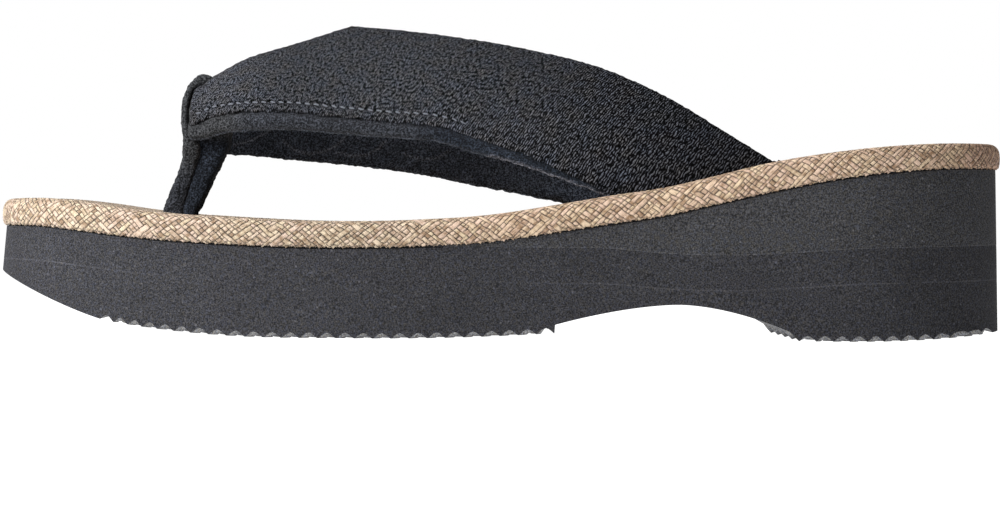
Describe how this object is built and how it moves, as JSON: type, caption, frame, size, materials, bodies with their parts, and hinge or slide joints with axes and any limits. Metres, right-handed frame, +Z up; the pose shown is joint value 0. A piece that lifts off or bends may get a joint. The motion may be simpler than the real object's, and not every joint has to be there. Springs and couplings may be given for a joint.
{
  "type": "setta sandal",
  "caption": "Women's setta sandal, left shoe: wide cloth straps on a felt toe post, woven straw footbed, layered sponge sole with an arch cut and raised heel.",
  "frame": {"origin": "on the floor, under the middle of the shoe's bounding box", "axes": "toe towards -X, heel towards +X, outer (lateral) side towards -Y, inner (medial) side towards +Y, +Z up"},
  "size_m": [0.236, 0.0856, 0.073],
  "materials": {
    "outsole_sponge": "matte dark grey sponge, fine grain",
    "midsole_sponge": "matte dark grey sponge, fine grain",
    "wedge_sponge": "matte grey sponge, fine grain",
    "woven_straw": "pale tan woven straw yarns, diamond figure",
    "crepe_cloth": "charcoal navy crepe weave with short glinting strokes",
    "felt": "soft near-black felt"
  },
  "bodies": {
    "root": {"outsole": "outsole_sponge", "midsole": "midsole_sponge", "heel_wedge": "wedge_sponge", "footbed": "woven_straw", "upper": "crepe_cloth", "toe_post": "felt"}
  },
  "joints": []
}
